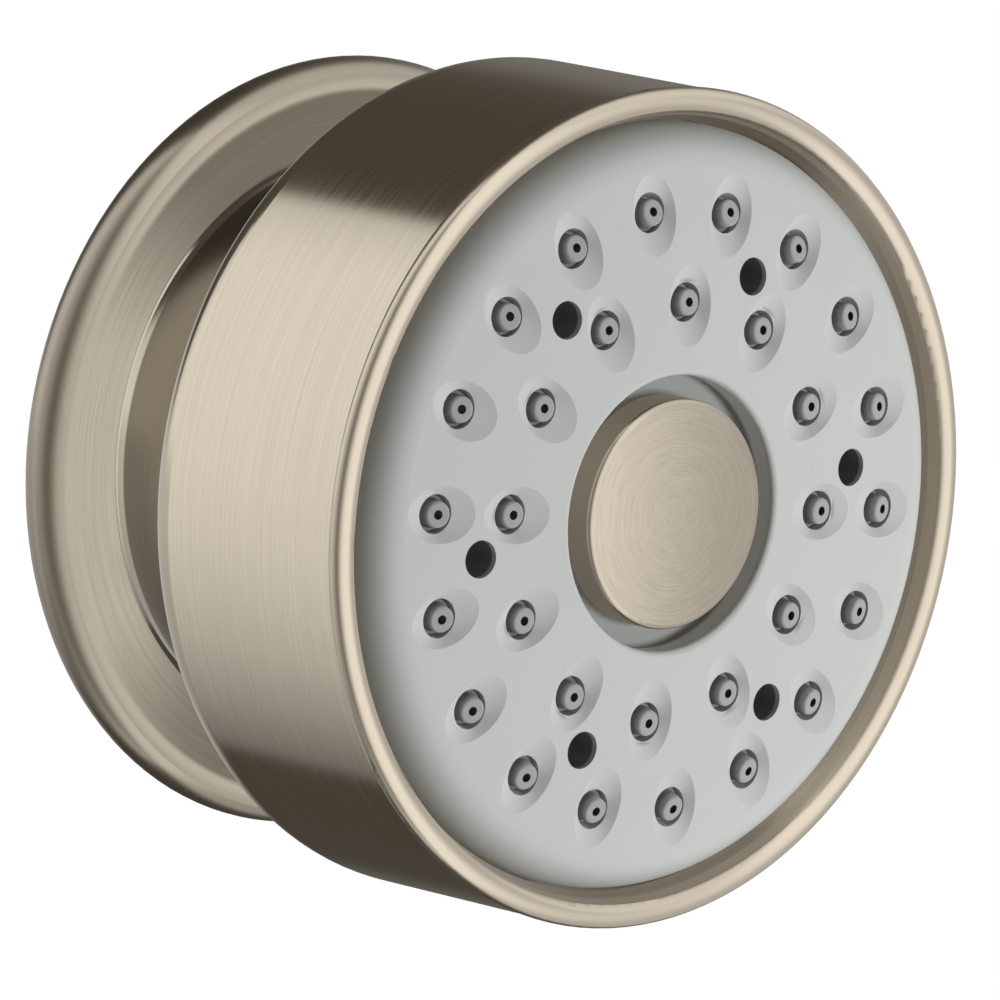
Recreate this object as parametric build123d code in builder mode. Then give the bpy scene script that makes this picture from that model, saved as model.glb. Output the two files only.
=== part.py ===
from build123d import *
import os
from math import acos, asin, cos, degrees, radians, sin, sqrt, tan

# Wall-mounted body spray: a round shower head that is aimed on a ball stud, in front of a round escutcheon.
# The origin is the centre of the escutcheon's back, on the wall. +Z is up, the spray leaves along -Y, and the
# stud's thread points along +Y into the wall. All sizes are millimetres, and "reach" is the distance in front
# of the wall.

# Ball joint
ball_reach = 14.0
ball_radius = 9.0
swivel_range = 12.0
joint_gap = 0.3
slip_piece_wall = 1.0

# Stud
thread_radius = 20.955 / 2
thread_length = 13.0
thread_chamfer = 1.2
thread_relief_depth = 1.2
thread_relief_width = 1.0
stem_radius = 5.5
stud_bore_radius = 3.0
key_socket_flats = 6.0
key_socket_depth = 6.0
flange_radius = 13.5
flange_thickness = 1.8
filter_seat_radius = 7.5
filter_seat_depth = 4.0

# Escutcheon and neck
escutcheon_radius = 46.5
escutcheon_bead_radius = 4.0
escutcheon_bead_reach = 3.5
escutcheon_bead_rise = 0.6
escutcheon_face_reach = 6.1
escutcheon_wall = 1.8
escutcheon_bore_radius = 35.4
escutcheon_bore_chamfer = 0.6
collar_wall = 2.0
collar_back_reach = 0.6
bead_inner_width = 4.6
gasket_width = 1.4
gasket_depth = 1.0
neck_gap = 0.7
neck_wall = 2.0
neck_web = 2.0
neck_step_reach = 4.6
neck_base_clearance = 0.5
neck_margin_angle = 1.5
stud_hole_clearance = 0.4
washer_thickness = 0.6
fit_clearance = 0.1

# Housing
head_radius = 50.0
lip_radius = 1.5
lip_reach = 60.0
lip_step = 0.2
rim_width = 4.1
bezel_angle = 22.0
housing_length = 33.7
housing_back_wall = 2.5
housing_back_fillet = 5.0
housing_neck_gap = 0.5
housing_ledge_width = 1.0
snap_ring_thickness = 1.4
snap_ring_groove_depth = 1.0
snap_ring_width = 2.7
snap_ring_mouth = 9.0

# Spray face
face_clearance = 0.3
dome_rise = 4.7
dome_radius = 350.0
face_edge_radius = 5.4
face_skirt_wall = 2.4
face_skirt_gap = 0.7
cap_radius = 13.7
cap_rise = 0.1
cap_height = 4.2
cap_edge_radius = 0.6
cap_gap = 2.7
cap_stem_radius = 4.0
cap_stem_length = 3.2
recess_floor_wall = 1.8
recess_edge_radius = 0.7
centre_boss_radius = 8.5
centre_boss_wall = 0.8

# Nozzles: two rings of soft nozzles, each in an oval dimple, and six screw wells between them
pattern_turn = 2.7
outer_ring_count = 18
outer_ring_radius = 36.05
outer_ring_tilt = 15.0
inner_ring_count = 12
inner_ring_radius = 25.0
inner_ring_tilt = 6.0
inner_ring_start_angle = 20.0
nozzle_sink = 0.15
nozzle_tip_radius = 1.55
nozzle_base_radius = 1.8
nozzle_edge_radius = 0.35
nozzle_tip_wall = 0.6
nozzle_cavity_radius = 1.0
orifice_radius = 0.54
nozzle_hole_radius = 2.35
nozzle_collar_clearance = 0.1
nozzle_collar_depth = 1.9
nozzle_collar_edge_radius = 0.25
dimple_length = 10.0
dimple_width = 6.8
dimple_depth = 0.9
dimple_inset = 0.4
dimple_overcut = 0.3
well_count = 6
well_ring_radius = 29.8
well_start_angle = 30.0
well_radius = 2.25
well_boss_wall = 1.3
well_floor_wall = 1.8
screw_head_height = 1.7
screw_shank_radius = 1.1
screw_length = 7.5
mat_thickness = 1.5
mat_boss_clearance = 0.2

# Spray body, behind the nozzle mat
chamber_height = 2.8
body_thickness = 7.5
body_rim_width = 3.0
body_floor = 3.5
body_flange_thickness = 3.0
funnel_radius = 14.0
spigot_radius = 9.0
spigot_bore_radius = 6.0
spigot_length = 8.0
body_seal_radius = 1.0

# Ball socket and its nut
socket_tube_radius = 12.0
socket_gap = 3.0
socket_hex_offset = 8.5
socket_hex_thickness = 5.0
waterway_radius = 5.5
nut_thread_clearance = 0.5
nut_wall = 2.5
nut_front_length = 8.0
nut_mouth_angle = 51.0
nut_rim_length = 3.0
ring_angles = (53.0, 74.0)
seat_angles = (54.0, 80.0)
seal_angles = (42.0, 50.0)
seal_pocket_radius = 8.4
seal_pocket_depth = 9.4
restrictor_thickness = 3.0
restrictor_hole_radius = 1.2
restrictor_ring_radius = 3.2
restrictor_hole_count = 6
filter_hole_radius = 0.55
filter_pitch = 1.6
filter_rows = 7
filter_sheet = 0.5
filter_rim = 0.7

# Worked-out sizes
swivel_total = degrees(acos(cos(radians(swivel_range)) ** 2))
slip_inner_radius = ball_radius + joint_gap
slip_outer_radius = slip_inner_radius + slip_piece_wall
joint_seat_radius = slip_outer_radius + joint_gap
bore_radius = head_radius - rim_width
drum_radius = head_radius - lip_step
ledge_radius = bore_radius - housing_ledge_width
face_radius = bore_radius - face_clearance
neck_face_radius = escutcheon_bore_radius - neck_gap
neck_radius = sqrt(neck_face_radius**2 + (ball_reach - escutcheon_face_reach) ** 2)
dome_reach = lip_reach + dome_rise
housing_back_reach = lip_reach - housing_length
cap_front_reach = dome_reach + cap_rise
recess_floor_reach = cap_front_reach - cap_height
face_plate_back_reach = recess_floor_reach - recess_floor_wall
mat_front_reach = face_plate_back_reach
mat_back_reach = mat_front_reach - mat_thickness
body_front_reach = mat_back_reach - chamber_height
housing_ledge_reach = body_front_reach - body_thickness
body_flange_reach = housing_ledge_reach + body_flange_thickness
snap_ring_reach = body_flange_reach + fit_clearance
face_skirt_reach = snap_ring_reach + snap_ring_thickness + face_skirt_gap
socket_front_reach = housing_ledge_reach - socket_gap
spigot_back_reach = socket_front_reach - spigot_length
socket_hex_reach = ball_reach + socket_hex_offset
seal_pocket_reach = ball_reach + seal_pocket_depth
nut_thread_radius = socket_tube_radius + nut_thread_clearance
nut_flats = 2 * (nut_thread_radius + nut_wall)
nut_front_reach = ball_reach + nut_front_length
nut_rim_reach = ball_reach - nut_rim_length
skirt_inner_radius = face_radius - face_skirt_wall
body_radius = skirt_inner_radius - fit_clearance
washer_reach = neck_web
flange_reach = washer_reach + washer_thickness
stem_reach = flange_reach + flange_thickness
web_hole_radius = thread_radius + stud_hole_clearance
pilot_radius = web_hole_radius - fit_clearance

# Profiles are drawn on this plane: local x is the radius and local y is the reach.
section = Plane(origin=(0, 0, 0), x_dir=(1, 0, 0), z_dir=(0, 0, -1))


def across(reach):
    """Plane square to the spray axis at a reach, seen from the front: x to the right, y up."""
    return Plane(origin=(0, -reach, 0), x_dir=(1, 0, 0), z_dir=(0, -1, 0))


def dome_at(radius):
    """Reach of the domed spray face at a radius."""
    return dome_reach - dome_radius + sqrt(dome_radius**2 - radius**2)


def on_ball(radius, angle, front=True):
    """Profile point on a sphere about the ball's centre, at an angle from the axis."""
    along = radius * cos(radians(angle))
    return (radius * sin(radians(angle)), ball_reach + (along if front else -along))


def ball_reach_at(radius, across_radius, front=True):
    """Reach at which a sphere about the ball's centre has the given radius across the axis."""
    along = sqrt(radius**2 - across_radius**2)
    return ball_reach + (along if front else -along)


def ball_arc(radius, start, end):
    """Profile arc about the ball's centre between two profile points."""
    middle = Vector(*start) + Vector(*end) - Vector(0, 2 * ball_reach)
    middle = Vector(0, ball_reach) + middle.normalized() * radius
    return ThreePointArc(start, middle, end)


def face_frame(radius, angle, reach, tilt):
    """Frame on the spray face: x points outwards, z leaves the face, tilted outwards by the tilt angle."""
    outwards = Vector(cos(radians(angle)), 0, sin(radians(angle)))
    front = Vector(0, -1, 0)
    axis = front * cos(radians(tilt)) + outwards * sin(radians(tilt))
    side = outwards * cos(radians(tilt)) - front * sin(radians(tilt))
    return Plane(origin=outwards * radius + front * reach, x_dir=side, z_dir=axis).location


def dome_tilt(radius):
    """Angle between the spray axis and the dome's normal at a radius."""
    return degrees(asin(radius / dome_radius))


def ring_angles_of(count, offset):
    """Angles of a ring of places, from the right, turned against the clock as seen from the front."""
    return [90 + pattern_turn + offset + 360 / count * place for place in range(count)]


outer_ring_angles = ring_angles_of(outer_ring_count, 0)
inner_ring_angles = ring_angles_of(inner_ring_count, inner_ring_start_angle)
nozzle_places = [(outer_ring_radius, angle, outer_ring_tilt) for angle in outer_ring_angles]
nozzle_places += [(inner_ring_radius, angle, inner_ring_tilt) for angle in inner_ring_angles]
nozzle_frames = [face_frame(r, angle, dome_at(r) - nozzle_sink, tilt) for r, angle, tilt in nozzle_places]
dimple_places = [(r - dimple_inset, angle) for r, angle, tilt in nozzle_places]
dimple_frames = [face_frame(r, angle, dome_at(r), dome_tilt(r)) for r, angle in dimple_places]
well_angles = ring_angles_of(well_count, well_start_angle)

os.makedirs("parts", exist_ok=True)

# Ball stud: thread for the wall outlet, clamping flange and ball, turned in one piece with the water bore
with BuildPart() as ball_stud:
    stem_meets_ball = (stem_radius, ball_reach_at(ball_radius, stem_radius, front=False))
    ball_mouth = (stud_bore_radius, ball_reach_at(ball_radius, stud_bore_radius))
    with BuildSketch(section):
        with BuildLine():
            Polyline(
                ball_mouth,
                (stud_bore_radius, filter_seat_depth - thread_length),
                (filter_seat_radius, filter_seat_depth - thread_length),
                (filter_seat_radius, -thread_length),
                (thread_radius - thread_chamfer, -thread_length),
                (thread_radius, thread_chamfer - thread_length),
                (thread_radius, 0),
                (thread_radius - thread_relief_depth, 0),
                (thread_radius - thread_relief_depth, thread_relief_width),
                (pilot_radius, thread_relief_width),
                (pilot_radius, flange_reach),
                (flange_radius, flange_reach),
                (flange_radius, stem_reach),
                (stem_radius, stem_reach),
                stem_meets_ball,
            )
            ball_arc(ball_radius, stem_meets_ball, ball_mouth)
        make_face()
    revolve(axis=Axis.Y)
    with BuildSketch(across(ball_reach + ball_radius)):
        RegularPolygon(key_socket_flats / 2, 6, major_radius=False)
    extrude(amount=-key_socket_depth, mode=Mode.SUBTRACT)

# Inlet filter: pressed into the back of the stud, a rimmed sheet with rows of holes
with BuildPart() as inlet_filter:
    filter_radius = filter_seat_radius - fit_clearance
    filter_back = -thread_length + filter_sheet
    with BuildSketch(section):
        with BuildLine():
            Polyline(
                (0, filter_back),
                (filter_radius, filter_back),
                (filter_radius, filter_seat_depth - thread_length),
                (filter_radius - filter_rim, filter_seat_depth - thread_length),
                (filter_radius - filter_rim, filter_back + filter_sheet),
                (0, filter_back + filter_sheet),
                close=True,
            )
        make_face()
    revolve(axis=Axis.Y)
    with BuildSketch(across(filter_back)):
        with HexLocations(filter_pitch / 2, filter_rows, filter_rows):
            Circle(filter_hole_radius)
        Circle(filter_radius - 2 * filter_rim, mode=Mode.INTERSECT)
    extrude(amount=filter_sheet, mode=Mode.SUBTRACT)

# Neck: a bell whose spherical outside is centred on the ball, clamped to the wall by the stud's flange
neck_opening_angle = degrees(
    asin((housing_back_reach + housing_back_wall - ball_reach) / (neck_radius + housing_neck_gap))
)
neck_front_angle = 90 - neck_opening_angle - swivel_total - neck_margin_angle
neck_inner_radius = neck_radius - neck_wall
neck_base_radius = neck_face_radius - neck_base_clearance
with BuildPart() as neck:
    neck_front = on_ball(neck_radius, neck_front_angle)
    neck_front_inner = on_ball(neck_inner_radius, neck_front_angle)
    neck_step = (sqrt(neck_radius**2 - (ball_reach - neck_step_reach) ** 2), neck_step_reach)
    web_corner = (sqrt(neck_inner_radius**2 - (ball_reach - neck_web) ** 2), neck_web)
    with BuildSketch(section):
        with BuildLine():
            ball_arc(neck_radius, neck_step, neck_front)
            Line(neck_front, neck_front_inner)
            ball_arc(neck_inner_radius, neck_front_inner, web_corner)
            Polyline(
                web_corner,
                (web_hole_radius, neck_web),
                (web_hole_radius, 0),
                (neck_base_radius, 0),
                (neck_base_radius, neck_step_reach),
                neck_step,
            )
        make_face()
    revolve(axis=Axis.Y)

# Neck washer: fibre ring between the stud's flange and the neck's web
with BuildPart() as neck_washer:
    with BuildSketch(across(washer_reach)):
        Circle(flange_radius)
        Circle(web_hole_radius, mode=Mode.SUBTRACT)
    extrude(amount=washer_thickness)

# Escutcheon: a hollow turned ring with a rolled edge, a flat face just below it and a collar round the neck
bead_centre_radius = escutcheon_radius - escutcheon_bead_radius
bead_back_width = sqrt(escutcheon_bead_radius**2 - escutcheon_bead_reach**2)
bead_edge_reach = escutcheon_face_reach + escutcheon_bead_rise
bead_edge_width = sqrt(escutcheon_bead_radius**2 - (bead_edge_reach - escutcheon_bead_reach) ** 2)
bead_edge_radius = bead_centre_radius + bead_edge_width
bead_inner_radius = escutcheon_radius - bead_inner_width
collar_radius = escutcheon_bore_radius + collar_wall
cavity_reach = escutcheon_face_reach - escutcheon_wall
ring_section_radius = (escutcheon_bore_radius - neck_base_radius) / 2 + collar_wall / 4 - fit_clearance
ring_reach = (collar_back_reach + neck_step_reach) / 2
ring_groove_width = 2 * ring_section_radius + fit_clearance
ring_groove_radius = neck_base_radius + 2 * ring_section_radius + 2 * fit_clearance
bead_foot_radius = bead_centre_radius + bead_back_width
gasket_inner_radius = (bead_inner_radius + bead_foot_radius - gasket_width) / 2
with BuildPart() as escutcheon:
    bead_edge = (bead_edge_radius, bead_edge_reach)
    bead_foot = (bead_foot_radius, 0)
    with BuildSketch(section):
        with BuildLine():
            ThreePointArc(bead_foot, (escutcheon_radius, escutcheon_bead_reach), bead_edge)
            Polyline(
                bead_edge,
                (bead_edge_radius, escutcheon_face_reach),
                (escutcheon_bore_radius + escutcheon_bore_chamfer, escutcheon_face_reach),
                (escutcheon_bore_radius, escutcheon_face_reach - escutcheon_bore_chamfer),
                (escutcheon_bore_radius, ring_reach + ring_groove_width / 2),
                (ring_groove_radius, ring_reach + ring_groove_width / 2),
                (ring_groove_radius, ring_reach - ring_groove_width / 2),
                (escutcheon_bore_radius, ring_reach - ring_groove_width / 2),
                (escutcheon_bore_radius, collar_back_reach),
                (collar_radius, collar_back_reach),
                (collar_radius, cavity_reach),
                (bead_inner_radius, cavity_reach),
                (bead_inner_radius, 0),
                (gasket_inner_radius, 0),
                (gasket_inner_radius, gasket_depth),
                (gasket_inner_radius + gasket_width, gasket_depth),
                (gasket_inner_radius + gasket_width, 0),
                bead_foot,
            )
        make_face()
    revolve(axis=Axis.Y)

# Escutcheon ring: O-ring in the collar that grips the neck's base
with BuildPart() as escutcheon_ring:
    with BuildSketch(section):
        with Locations((neck_base_radius + fit_clearance + ring_section_radius, ring_reach)):
            Circle(ring_section_radius)
    revolve(axis=Axis.Y)

# Wall gasket: soft ring let into the escutcheon's back
with BuildPart() as wall_gasket:
    with BuildSketch(across(0)):
        Circle(gasket_inner_radius + gasket_width - fit_clearance)
        Circle(gasket_inner_radius + fit_clearance, mode=Mode.SUBTRACT)
    extrude(amount=gasket_depth)


def slip_profile(angles, front):
    """Draws the face of a spherical slip piece between two angles from the front or the back of the axis."""
    corners = [on_ball(r, a, front) for r in (slip_inner_radius, slip_outer_radius) for a in angles]
    with BuildLine() as outline:
        ball_arc(slip_inner_radius, corners[0], corners[1])
        Line(corners[1], corners[3])
        ball_arc(slip_outer_radius, corners[3], corners[2])
        Line(corners[2], corners[0])
    return outline.line


# Friction ring: slip piece behind the ball, held by the nut
with BuildPart() as friction_ring:
    with BuildSketch(section):
        make_face(slip_profile(ring_angles, front=False).edges())
    revolve(axis=Axis.Y)

# Ball seat: slip piece in front of the ball, held by the socket
with BuildPart() as ball_seat:
    with BuildSketch(section):
        make_face(slip_profile(seat_angles, front=True).edges())
    revolve(axis=Axis.Y)

# Ball nut: hexagon union nut with a spherical seat for the friction ring
with BuildPart() as ball_nut:
    nut_mouth = on_ball(joint_seat_radius, nut_mouth_angle, front=False)
    nut_corner_radius = nut_flats / sqrt(3)
    with BuildSketch(section):
        with BuildLine():
            Polyline(
                (joint_seat_radius, ball_reach),
                (nut_thread_radius, ball_reach),
                (nut_thread_radius, nut_front_reach),
                (nut_corner_radius, nut_front_reach),
                (nut_corner_radius, nut_rim_reach),
                nut_mouth,
            )
            ball_arc(joint_seat_radius, nut_mouth, (joint_seat_radius, ball_reach))
        make_face()
    revolve(axis=Axis.Y)
    with BuildSketch(across(0)):
        RegularPolygon(nut_flats / 2, 6, major_radius=False)
    extrude(amount=nut_front_reach, mode=Mode.INTERSECT)

# Ball socket: screwed into the nut, with the seat for the ball, the seal's pocket and the waterway
socket_back_reach = ball_reach + joint_gap
socket_bore_radius = spigot_radius + fit_clearance
with BuildPart() as ball_socket:
    seat_start = (sqrt(joint_seat_radius**2 - joint_gap**2), socket_back_reach)
    seat_end = (seal_pocket_radius, ball_reach_at(joint_seat_radius, seal_pocket_radius))
    with BuildSketch(section):
        with BuildLine():
            ball_arc(joint_seat_radius, seat_start, seat_end)
            Polyline(
                seat_end,
                (seal_pocket_radius, seal_pocket_reach),
                (waterway_radius, seal_pocket_reach),
                (waterway_radius, spigot_back_reach - restrictor_thickness),
                (socket_bore_radius, spigot_back_reach - restrictor_thickness),
                (socket_bore_radius, socket_front_reach),
                (socket_tube_radius, socket_front_reach),
                (socket_tube_radius, socket_back_reach),
                seat_start,
            )
        make_face()
    revolve(axis=Axis.Y)
    with BuildSketch(across(socket_hex_reach)):
        RegularPolygon(nut_flats / 2, 6, major_radius=False)
        Circle(socket_tube_radius - fit_clearance, mode=Mode.SUBTRACT)
    extrude(amount=socket_hex_thickness)

# Ball seal: soft ring in the socket's pocket, resting on the front of the ball
with BuildPart() as ball_seal:
    seal_lip = [on_ball(slip_inner_radius, angle) for angle in seal_angles]
    seal_side = on_ball(slip_outer_radius, seal_angles[1])
    seal_radius = seal_pocket_radius - fit_clearance
    with BuildSketch(section):
        with BuildLine():
            ball_arc(slip_inner_radius, seal_lip[0], seal_lip[1])
            Polyline(
                seal_lip[1],
                seal_side,
                (seal_radius, seal_side[1]),
                (seal_radius, seal_pocket_reach),
                (seal_lip[0][0], seal_pocket_reach),
                seal_lip[0],
            )
        make_face()
    revolve(axis=Axis.Y)

# Flow restrictor: perforated disc at the bottom of the socket's bore, held there by the spigot
with BuildPart() as flow_restrictor:
    with BuildSketch(across(spigot_back_reach - restrictor_thickness)):
        Circle(socket_bore_radius - fit_clearance)
        with PolarLocations(restrictor_ring_radius, restrictor_hole_count):
            Circle(restrictor_hole_radius, mode=Mode.SUBTRACT)
    extrude(amount=restrictor_thickness)

# Spray body: floor of the water chamber, with the flange that seats in the housing and the inlet spigot
seal_groove_depth = 2 * body_seal_radius - fit_clearance
seal_groove_reach = (spigot_back_reach + socket_front_reach) / 2
body_back_reach = body_front_reach - body_floor
flange_outer_radius = bore_radius - fit_clearance
with BuildPart() as spray_body:
    with BuildSketch(section):
        with BuildLine():
            Polyline(
                (spigot_bore_radius, spigot_back_reach),
                (spigot_radius, spigot_back_reach),
                (spigot_radius, seal_groove_reach - body_seal_radius),
                (spigot_radius - seal_groove_depth, seal_groove_reach - body_seal_radius),
                (spigot_radius - seal_groove_depth, seal_groove_reach + body_seal_radius),
                (spigot_radius, seal_groove_reach + body_seal_radius),
                (spigot_radius, socket_front_reach),
                (socket_tube_radius, socket_front_reach),
                (socket_tube_radius, housing_ledge_reach),
                (flange_outer_radius, housing_ledge_reach),
                (flange_outer_radius, body_flange_reach),
                (body_radius, body_flange_reach),
                (body_radius, mat_back_reach),
                (body_radius - body_rim_width, mat_back_reach),
                (body_radius - body_rim_width, body_front_reach),
                (funnel_radius, body_front_reach),
                (spigot_bore_radius, body_back_reach),
                close=True,
            )
        make_face()
    revolve(axis=Axis.Y)
    with BuildSketch(across(body_front_reach)):
        for angle in well_angles:
            with PolarLocations(well_ring_radius, 1, start_angle=angle):
                Circle(screw_shank_radius)
    extrude(amount=-(screw_length - well_floor_wall), mode=Mode.SUBTRACT)

# Body seal: O-ring on the spigot
with BuildPart() as body_seal:
    with BuildSketch(section):
        with Locations((socket_bore_radius - fit_clearance / 2 - body_seal_radius, seal_groove_reach)):
            Circle(body_seal_radius - fit_clearance / 2)
    revolve(axis=Axis.Y)

# Snap ring: split ring in the housing's groove that holds the spray body in
groove_radius = bore_radius + snap_ring_groove_depth
with BuildPart() as snap_ring:
    with BuildSketch(across(snap_ring_reach)):
        Circle(groove_radius - fit_clearance)
        Circle(groove_radius - fit_clearance - snap_ring_width, mode=Mode.SUBTRACT)
        with Locations((0, -groove_radius)):
            Rectangle(snap_ring_mouth, 2 * (snap_ring_width + snap_ring_groove_depth), mode=Mode.SUBTRACT)
    extrude(amount=snap_ring_thickness)

# Housing: brushed drum with a rounded back edge, a rounded lip, a bezel that leads in to the spray face,
# and a back opening that rides round the neck
with BuildPart() as housing:
    opening_radius = neck_radius + housing_neck_gap
    back_inner_reach = housing_back_reach + housing_back_wall
    opening_back = (sqrt(opening_radius**2 - (housing_back_reach - ball_reach) ** 2), housing_back_reach)
    opening_front = (sqrt(opening_radius**2 - (back_inner_reach - ball_reach) ** 2), back_inner_reach)
    lip_centre_radius = head_radius - lip_radius
    lip_foot = (drum_radius, lip_reach - sqrt(lip_radius**2 - (lip_radius - lip_step) ** 2))
    bezel_slope = radians(bezel_angle)
    bezel_start_radius = lip_centre_radius - lip_radius * cos(bezel_slope)
    bezel_start = (bezel_start_radius, lip_reach + lip_radius * sin(bezel_slope))
    bezel_foot = (bore_radius, bezel_start[1] - (bezel_start_radius - bore_radius) / tan(bezel_slope))
    groove_back = snap_ring_reach - fit_clearance / 2
    groove_front = snap_ring_reach + snap_ring_thickness + fit_clearance / 2
    with BuildSketch(section) as housing_profile:
        with BuildLine():
            Polyline(
                opening_back,
                (drum_radius, housing_back_reach),
                lip_foot,
            )
            ThreePointArc(lip_foot, (lip_centre_radius, lip_reach + lip_radius), bezel_start)
            Polyline(
                bezel_start,
                bezel_foot,
                (bore_radius, groove_front),
                (groove_radius, groove_front),
                (groove_radius, groove_back),
                (bore_radius, groove_back),
                (bore_radius, housing_ledge_reach),
                (ledge_radius, housing_ledge_reach),
                (ledge_radius, back_inner_reach),
                opening_front,
            )
            ball_arc(opening_radius, opening_front, opening_back)
        make_face()
        outer_corner = housing_profile.vertices().sort_by_distance((drum_radius, housing_back_reach))[0]
        fillet(outer_corner, housing_back_fillet)
        inner_corner = housing_profile.vertices().sort_by_distance((ledge_radius, back_inner_reach))[0]
        fillet(inner_corner, housing_back_fillet - housing_back_wall)
    revolve(axis=Axis.Y)

# Dimple cutter: an oval funnel, made at the origin, as wide as the nozzle's hole at the dimple's depth
with BuildPart() as dimple_cutter:
    for height in (dimple_overcut, -dimple_depth - dimple_overcut):
        spread = 1 + height / dimple_depth
        with BuildSketch(Plane.XY.offset(height)):
            Ellipse(
                nozzle_hole_radius + spread * (dimple_length / 2 - nozzle_hole_radius),
                nozzle_hole_radius + spread * (dimple_width / 2 - nozzle_hole_radius),
            )
    loft()

# Face plate: domed plastic disc with a strongly rounded edge, dimples, screw wells and the centre recess
recess_radius = cap_radius + cap_gap
boss_back_reach = recess_floor_reach - cap_stem_length - centre_boss_wall
well_boss_radius = well_radius + well_boss_wall
well_floor_reach = body_front_reach + well_floor_wall
recess_rim = (recess_radius, dome_at(recess_radius))
face_rim = (face_radius, dome_at(face_radius))
with BuildPart() as face_plate:
    with BuildSketch(section) as face_profile:
        with BuildLine():
            RadiusArc(recess_rim, face_rim, dome_radius)
            Polyline(
                face_rim,
                (face_radius, face_skirt_reach),
                (skirt_inner_radius, face_skirt_reach),
                (skirt_inner_radius, face_plate_back_reach - face_skirt_wall / 2),
                (skirt_inner_radius - face_skirt_wall / 2, face_plate_back_reach),
                (centre_boss_radius, face_plate_back_reach),
                (centre_boss_radius, boss_back_reach),
                (0, boss_back_reach),
                (0, boss_back_reach + centre_boss_wall),
                (cap_stem_radius, boss_back_reach + centre_boss_wall),
                (cap_stem_radius, recess_floor_reach),
                (recess_radius, recess_floor_reach),
                recess_rim,
            )
        make_face()
        fillet(face_profile.vertices().sort_by_distance(face_rim)[0], face_edge_radius)
        fillet(face_profile.vertices().sort_by_distance(recess_rim)[0], recess_edge_radius)
    revolve(axis=Axis.Y)
    with BuildSketch(across(body_front_reach)):
        for angle in well_angles:
            with PolarLocations(well_ring_radius, 1, start_angle=angle):
                Circle(well_boss_radius)
    extrude(amount=face_plate_back_reach - body_front_reach)
    with Locations(*dimple_frames):
        add(dimple_cutter.part, mode=Mode.SUBTRACT)
    with Locations(*nozzle_frames):
        Cylinder(nozzle_hole_radius, 2 * (dome_reach - mat_back_reach), mode=Mode.SUBTRACT)
    with BuildSketch(across(well_floor_reach)):
        for angle in well_angles:
            with PolarLocations(well_ring_radius, 1, start_angle=angle):
                Circle(well_radius)
    extrude(amount=dome_reach - well_floor_reach, mode=Mode.SUBTRACT)
    with BuildSketch(across(body_front_reach)):
        for angle in well_angles:
            with PolarLocations(well_ring_radius, 1, start_angle=angle):
                Circle(screw_shank_radius + fit_clearance)
    extrude(amount=well_floor_wall, mode=Mode.SUBTRACT)

# Nozzle mat: soft disc with the nozzles moulded on it, each hollow behind a thin tip and with a collar in its hole
mat_radius = skirt_inner_radius - face_skirt_wall / 2
nozzle_root = nozzle_sink + dome_reach - mat_back_reach
nozzle_collar = (nozzle_hole_radius - nozzle_collar_clearance, -nozzle_collar_depth)
with BuildPart() as nozzle_blank:
    with BuildSketch(Plane.XZ) as nozzle_profile:
        with BuildLine():
            Polyline(
                (0, 0),
                (nozzle_tip_radius, 0),
                (nozzle_base_radius, -nozzle_collar_depth),
                nozzle_collar,
                (nozzle_hole_radius - nozzle_collar_clearance, -nozzle_root),
                (0, -nozzle_root),
                close=True,
            )
        make_face()
        fillet(nozzle_profile.vertices().sort_by_distance((nozzle_tip_radius, 0))[0], nozzle_edge_radius)
        fillet(nozzle_profile.vertices().sort_by_distance(nozzle_collar)[0], nozzle_collar_edge_radius)
    revolve(axis=Axis.Z)
with BuildPart() as nozzle_mat:
    with BuildSketch(across(mat_back_reach)):
        Circle(mat_radius)
        Circle(centre_boss_radius + mat_boss_clearance, mode=Mode.SUBTRACT)
        for angle in well_angles:
            with PolarLocations(well_ring_radius, 1, start_angle=angle):
                Circle(well_boss_radius + mat_boss_clearance, mode=Mode.SUBTRACT)
    extrude(amount=mat_thickness)
    with Locations(*nozzle_frames):
        add(nozzle_blank.part)
    with Locations(*nozzle_frames):
        Cylinder(orifice_radius, 2 * nozzle_root, mode=Mode.SUBTRACT)
        with Locations((0, 0, -nozzle_tip_wall)):
            Cylinder(
                nozzle_cavity_radius,
                2 * nozzle_root,
                align=(Align.CENTER, Align.CENTER, Align.MAX),
                mode=Mode.SUBTRACT,
            )
    split(bisect_by=across(mat_back_reach), keep=Keep.TOP)

# Face screws: one in each well, holding the face plate and the mat on the spray body
with BuildPart() as face_screws:
    for angle in well_angles:
        with BuildSketch(across(well_floor_reach)):
            with PolarLocations(well_ring_radius, 1, start_angle=angle):
                Circle(well_radius - fit_clearance)
        extrude(amount=screw_head_height)
        with BuildSketch(across(well_floor_reach)):
            with PolarLocations(well_ring_radius, 1, start_angle=angle):
                Circle(screw_shank_radius - fit_clearance / 2)
        extrude(amount=-screw_length)

# Centre cap: metal button with a stem pressed into the face plate
with BuildPart() as centre_cap:
    with BuildSketch(section) as cap_profile:
        with BuildLine():
            Polyline(
                (0, cap_front_reach),
                (cap_radius, cap_front_reach),
                (cap_radius, recess_floor_reach),
                (cap_stem_radius, recess_floor_reach),
                (cap_stem_radius, recess_floor_reach - cap_stem_length),
                (0, recess_floor_reach - cap_stem_length),
                close=True,
            )
        make_face()
        fillet(cap_profile.vertices().sort_by_distance((cap_radius, cap_front_reach))[0], cap_edge_radius)
    revolve(axis=Axis.Y)

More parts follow.
